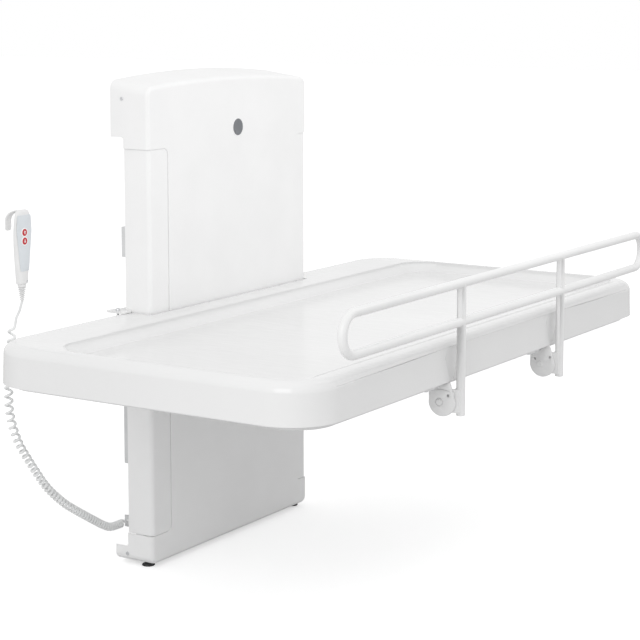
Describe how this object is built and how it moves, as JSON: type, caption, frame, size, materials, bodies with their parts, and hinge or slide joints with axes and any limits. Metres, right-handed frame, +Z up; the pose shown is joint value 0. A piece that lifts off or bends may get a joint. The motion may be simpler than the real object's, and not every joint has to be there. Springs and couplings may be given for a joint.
{
  "type": "shower change table",
  "caption": "Wall-mounted shower change table: covered lifting column, long shallow tray on bracket arms, fold-down safety rail, handset on a curly cord.",
  "frame": {"origin": "centre of the four wall bolts, on the wall's face", "axes": "+X along the wall, to the right as seen from the room; +Y into the wall; +Z up"},
  "size_m": [1.8, 0.985, 1.2989],
  "materials": {
    "white_cover": "satin white powder coat",
    "steel_frame": "grey primer",
    "bright_steel": "bright steel",
    "drive_grey": "dark grey housing",
    "badge_grey": "bare dark grey disc",
    "black_rubber": "black rubber",
    "glide_grey": "grey glide plastic",
    "white_steel": "white powder coat",
    "tray_shell": "glossy white moulded shell",
    "white_plastic": "satin white plastic",
    "keypad_grey": "pale grey foil",
    "button_red": "red",
    "cord_white": "soft white jacket"
  },
  "bodies": {
    "column": {"left_upright": "steel_frame", "right_upright": "steel_frame", "top_crossbar": "steel_frame", "bottom_crossbar": "steel_frame", "upper_wall_plate": "steel_frame", "lower_wall_plate": "steel_frame", "guide_rails": "bright_steel", "top_cap_bracket": "steel_frame", "bottom_cap_bracket": "steel_frame", "front_cover": "white_cover", "left_side_cover": "white_cover", "right_side_cover": "white_cover", "cap_screws": "bright_steel", "front_badge": "badge_grey", "actuator_clevis": "steel_frame", "actuator_lower_pin": "bright_steel", "actuator_gearbox": "drive_grey", "actuator_motor": "drive_grey", "actuator_tube": "drive_grey", "control_box": "drive_grey", "cord_bracket": "steel_frame", "cord_gland": "white_plastic", "curly_cord": "cord_white"},
    "left_foot": {"left_foot": "black_rubber"},
    "right_foot": {"right_foot": "black_rubber"},
    "lift": {"actuator_rod": "bright_steel", "actuator_upper_pin": "bright_steel", "carriage_plate": "steel_frame", "left_carriage_bar": "steel_frame", "right_carriage_bar": "steel_frame", "upper_glide_blocks": "glide_grey", "lower_glide_blocks": "glide_grey", "left_arm": "white_steel", "right_arm": "white_steel", "underframe": "white_steel", "basin_beam": "white_steel", "tray_pads": "black_rubber", "tray": "tray_shell", "retaining_plates": "white_steel", "retaining_screws": "bright_steel", "left_rail_bracket": "white_steel", "right_rail_bracket": "white_steel", "bracket_bolts": "bright_steel", "rail_pivot_bolts": "white_steel", "friction_washers": "glide_grey", "handset_front_shell": "white_plastic", "handset_back_shell": "white_plastic", "handset_keypad": "keypad_grey", "handset_strain_relief": "white_plastic"},
    "rail": {"left_hinge_leaf": "white_steel", "right_hinge_leaf": "white_steel", "rail_frame": "white_steel", "rail_end_plugs": "white_plastic"},
    "up_button": {"up_button": "button_red"},
    "down_button": {"down_button": "button_red"}
  },
  "joints": [
    {"name": "lift", "type": "slide", "parent": "column", "child": "lift", "axis": [0, 0, 1], "range_m": [-0.21, 0.235], "deforming": ["curly_cord"]},
    {"name": "rail_fold", "type": "hinge", "parent": "lift", "child": "rail", "pos_m": [0, -0.93, -0.1], "axis": [1, 0, 0], "range_deg": [0, 180]},
    {"name": "up_press", "type": "slide", "parent": "lift", "child": "up_button", "axis": [0, 1, 0], "range_m": [0, 0.001], "stiffness_N_per_m": 1500},
    {"name": "down_press", "type": "slide", "parent": "lift", "child": "down_button", "axis": [0, 1, 0], "range_m": [0, 0.001], "stiffness_N_per_m": 1500},
    {"name": "left_foot_screw", "type": "slide", "parent": "column", "child": "left_foot", "axis": [0, 0, -1], "range_m": [-0.001, 0.012]},
    {"name": "right_foot_screw", "type": "slide", "parent": "column", "child": "right_foot", "axis": [0, 0, -1], "range_m": [-0.001, 0.012]}
  ]
}
